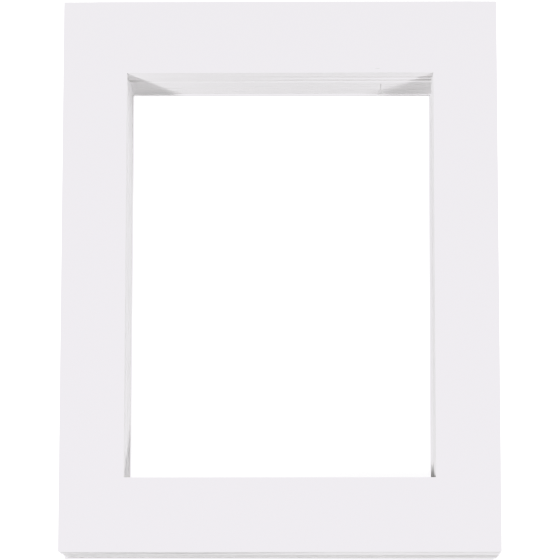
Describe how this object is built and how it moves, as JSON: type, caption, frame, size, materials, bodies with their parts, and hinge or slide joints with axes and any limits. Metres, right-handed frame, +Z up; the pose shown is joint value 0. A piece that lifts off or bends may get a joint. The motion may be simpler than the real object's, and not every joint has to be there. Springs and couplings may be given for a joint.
{
  "type": "pile of window mats",
  "caption": "Pile of loose white picture mats, each a flat board frame with a plain rectangular window; stacked, they form a deep shadow-box surround.",
  "frame": {"origin": "middle of the pile's underside, on the surface it lies on", "axes": "+X across the mats to the right, +Y up the mats towards their top edge, +Z up through the pile"},
  "size_m": [0.2816, 0.357, 0.07],
  "materials": {
    "mat_board": "matt uncoated white board"
  },
  "bodies": {
    "mat_01": {"mat_01": "mat_board"},
    "mat_02": {"mat_02": "mat_board"},
    "mat_03": {"mat_03": "mat_board"},
    "mat_04": {"mat_04": "mat_board"},
    "mat_05": {"mat_05": "mat_board"},
    "mat_06": {"mat_06": "mat_board"},
    "mat_07": {"mat_07": "mat_board"},
    "mat_08": {"mat_08": "mat_board"},
    "mat_09": {"mat_09": "mat_board"},
    "mat_10": {"mat_10": "mat_board"},
    "mat_11": {"mat_11": "mat_board"},
    "mat_12": {"mat_12": "mat_board"},
    "mat_13": {"mat_13": "mat_board"},
    "mat_14": {"mat_14": "mat_board"},
    "mat_15": {"mat_15": "mat_board"},
    "mat_16": {"mat_16": "mat_board"},
    "mat_17": {"mat_17": "mat_board"},
    "mat_18": {"mat_18": "mat_board"},
    "mat_19": {"mat_19": "mat_board"},
    "mat_20": {"mat_20": "mat_board"},
    "mat_21": {"mat_21": "mat_board"},
    "mat_22": {"mat_22": "mat_board"},
    "mat_23": {"mat_23": "mat_board"},
    "mat_24": {"mat_24": "mat_board"},
    "mat_25": {"mat_25": "mat_board"},
    "mat_26": {"mat_26": "mat_board"},
    "mat_27": {"mat_27": "mat_board"},
    "mat_28": {"mat_28": "mat_board"},
    "mat_29": {"mat_29": "mat_board"},
    "mat_30": {"mat_30": "mat_board"},
    "mat_31": {"mat_31": "mat_board"},
    "mat_32": {"mat_32": "mat_board"},
    "mat_33": {"mat_33": "mat_board"},
    "mat_34": {"mat_34": "mat_board"},
    "mat_35": {"mat_35": "mat_board"},
    "mat_36": {"mat_36": "mat_board"},
    "mat_37": {"mat_37": "mat_board"},
    "mat_38": {"mat_38": "mat_board"},
    "mat_39": {"mat_39": "mat_board"},
    "mat_40": {"mat_40": "mat_board"},
    "mat_41": {"mat_41": "mat_board"},
    "mat_42": {"mat_42": "mat_board"},
    "mat_43": {"mat_43": "mat_board"},
    "mat_44": {"mat_44": "mat_board"},
    "mat_45": {"mat_45": "mat_board"},
    "mat_46": {"mat_46": "mat_board"},
    "mat_47": {"mat_47": "mat_board"},
    "mat_48": {"mat_48": "mat_board"},
    "mat_49": {"mat_49": "mat_board"},
    "mat_50": {"mat_50": "mat_board"}
  },
  "joints": [
    {"name": "lift_mat_02", "type": "slide", "parent": "mat_01", "child": "mat_02", "axis": [0, 0, 1], "range_m": [0, 0.012]},
    {"name": "lift_mat_03", "type": "slide", "parent": "mat_02", "child": "mat_03", "axis": [0, 0, 1], "range_m": [0, 0.012]},
    {"name": "lift_mat_04", "type": "slide", "parent": "mat_03", "child": "mat_04", "axis": [0, 0, 1], "range_m": [0, 0.012]},
    {"name": "lift_mat_05", "type": "slide", "parent": "mat_04", "child": "mat_05", "axis": [0, 0, 1], "range_m": [0, 0.012]},
    {"name": "lift_mat_06", "type": "slide", "parent": "mat_05", "child": "mat_06", "axis": [0, 0, 1], "range_m": [0, 0.012]},
    {"name": "lift_mat_07", "type": "slide", "parent": "mat_06", "child": "mat_07", "axis": [0, 0, 1], "range_m": [0, 0.012]},
    {"name": "lift_mat_08", "type": "slide", "parent": "mat_07", "child": "mat_08", "axis": [0, 0, 1], "range_m": [0, 0.012]},
    {"name": "lift_mat_09", "type": "slide", "parent": "mat_08", "child": "mat_09", "axis": [0, 0, 1], "range_m": [0, 0.012]},
    {"name": "lift_mat_10", "type": "slide", "parent": "mat_09", "child": "mat_10", "axis": [0, 0, 1], "range_m": [0, 0.012]},
    {"name": "lift_mat_11", "type": "slide", "parent": "mat_10", "child": "mat_11", "axis": [0, 0, 1], "range_m": [0, 0.012]},
    {"name": "lift_mat_12", "type": "slide", "parent": "mat_11", "child": "mat_12", "axis": [0, 0, 1], "range_m": [0, 0.012]},
    {"name": "lift_mat_13", "type": "slide", "parent": "mat_12", "child": "mat_13", "axis": [0, 0, 1], "range_m": [0, 0.012]},
    {"name": "lift_mat_14", "type": "slide", "parent": "mat_13", "child": "mat_14", "axis": [0, 0, 1], "range_m": [0, 0.012]},
    {"name": "lift_mat_15", "type": "slide", "parent": "mat_14", "child": "mat_15", "axis": [0, 0, 1], "range_m": [0, 0.012]},
    {"name": "lift_mat_16", "type": "slide", "parent": "mat_15", "child": "mat_16", "axis": [0, 0, 1], "range_m": [0, 0.012]},
    {"name": "lift_mat_17", "type": "slide", "parent": "mat_16", "child": "mat_17", "axis": [0, 0, 1], "range_m": [0, 0.012]},
    {"name": "lift_mat_18", "type": "slide", "parent": "mat_17", "child": "mat_18", "axis": [0, 0, 1], "range_m": [0, 0.012]},
    {"name": "lift_mat_19", "type": "slide", "parent": "mat_18", "child": "mat_19", "axis": [0, 0, 1], "range_m": [0, 0.012]},
    {"name": "lift_mat_20", "type": "slide", "parent": "mat_19", "child": "mat_20", "axis": [0, 0, 1], "range_m": [0, 0.012]},
    {"name": "lift_mat_21", "type": "slide", "parent": "mat_20", "child": "mat_21", "axis": [0, 0, 1], "range_m": [0, 0.012]},
    {"name": "lift_mat_22", "type": "slide", "parent": "mat_21", "child": "mat_22", "axis": [0, 0, 1], "range_m": [0, 0.012]},
    {"name": "lift_mat_23", "type": "slide", "parent": "mat_22", "child": "mat_23", "axis": [0, 0, 1], "range_m": [0, 0.012]},
    {"name": "lift_mat_24", "type": "slide", "parent": "mat_23", "child": "mat_24", "axis": [0, 0, 1], "range_m": [0, 0.012]},
    {"name": "lift_mat_25", "type": "slide", "parent": "mat_24", "child": "mat_25", "axis": [0, 0, 1], "range_m": [0, 0.012]},
    {"name": "lift_mat_26", "type": "slide", "parent": "mat_25", "child": "mat_26", "axis": [0, 0, 1], "range_m": [0, 0.012]},
    {"name": "lift_mat_27", "type": "slide", "parent": "mat_26", "child": "mat_27", "axis": [0, 0, 1], "range_m": [0, 0.012]},
    {"name": "lift_mat_28", "type": "slide", "parent": "mat_27", "child": "mat_28", "axis": [0, 0, 1], "range_m": [0, 0.012]},
    {"name": "lift_mat_29", "type": "slide", "parent": "mat_28", "child": "mat_29", "axis": [0, 0, 1], "range_m": [0, 0.012]},
    {"name": "lift_mat_30", "type": "slide", "parent": "mat_29", "child": "mat_30", "axis": [0, 0, 1], "range_m": [0, 0.012]},
    {"name": "lift_mat_31", "type": "slide", "parent": "mat_30", "child": "mat_31", "axis": [0, 0, 1], "range_m": [0, 0.012]},
    {"name": "lift_mat_32", "type": "slide", "parent": "mat_31", "child": "mat_32", "axis": [0, 0, 1], "range_m": [0, 0.012]},
    {"name": "lift_mat_33", "type": "slide", "parent": "mat_32", "child": "mat_33", "axis": [0, 0, 1], "range_m": [0, 0.012]},
    {"name": "lift_mat_34", "type": "slide", "parent": "mat_33", "child": "mat_34", "axis": [0, 0, 1], "range_m": [0, 0.012]},
    {"name": "lift_mat_35", "type": "slide", "parent": "mat_34", "child": "mat_35", "axis": [0, 0, 1], "range_m": [0, 0.012]},
    {"name": "lift_mat_36", "type": "slide", "parent": "mat_35", "child": "mat_36", "axis": [0, 0, 1], "range_m": [0, 0.012]},
    {"name": "lift_mat_37", "type": "slide", "parent": "mat_36", "child": "mat_37", "axis": [0, 0, 1], "range_m": [0, 0.012]},
    {"name": "lift_mat_38", "type": "slide", "parent": "mat_37", "child": "mat_38", "axis": [0, 0, 1], "range_m": [0, 0.012]},
    {"name": "lift_mat_39", "type": "slide", "parent": "mat_38", "child": "mat_39", "axis": [0, 0, 1], "range_m": [0, 0.012]},
    {"name": "lift_mat_40", "type": "slide", "parent": "mat_39", "child": "mat_40", "axis": [0, 0, 1], "range_m": [0, 0.012]},
    {"name": "lift_mat_41", "type": "slide", "parent": "mat_40", "child": "mat_41", "axis": [0, 0, 1], "range_m": [0, 0.012]},
    {"name": "lift_mat_42", "type": "slide", "parent": "mat_41", "child": "mat_42", "axis": [0, 0, 1], "range_m": [0, 0.012]},
    {"name": "lift_mat_43", "type": "slide", "parent": "mat_42", "child": "mat_43", "axis": [0, 0, 1], "range_m": [0, 0.012]},
    {"name": "lift_mat_44", "type": "slide", "parent": "mat_43", "child": "mat_44", "axis": [0, 0, 1], "range_m": [0, 0.012]},
    {"name": "lift_mat_45", "type": "slide", "parent": "mat_44", "child": "mat_45", "axis": [0, 0, 1], "range_m": [0, 0.012]},
    {"name": "lift_mat_46", "type": "slide", "parent": "mat_45", "child": "mat_46", "axis": [0, 0, 1], "range_m": [0, 0.012]},
    {"name": "lift_mat_47", "type": "slide", "parent": "mat_46", "child": "mat_47", "axis": [0, 0, 1], "range_m": [0, 0.012]},
    {"name": "lift_mat_48", "type": "slide", "parent": "mat_47", "child": "mat_48", "axis": [0, 0, 1], "range_m": [0, 0.012]},
    {"name": "lift_mat_49", "type": "slide", "parent": "mat_48", "child": "mat_49", "axis": [0, 0, 1], "range_m": [0, 0.012]},
    {"name": "lift_mat_50", "type": "slide", "parent": "mat_49", "child": "mat_50", "axis": [0, 0, 1], "range_m": [0, 0.012]}
  ]
}
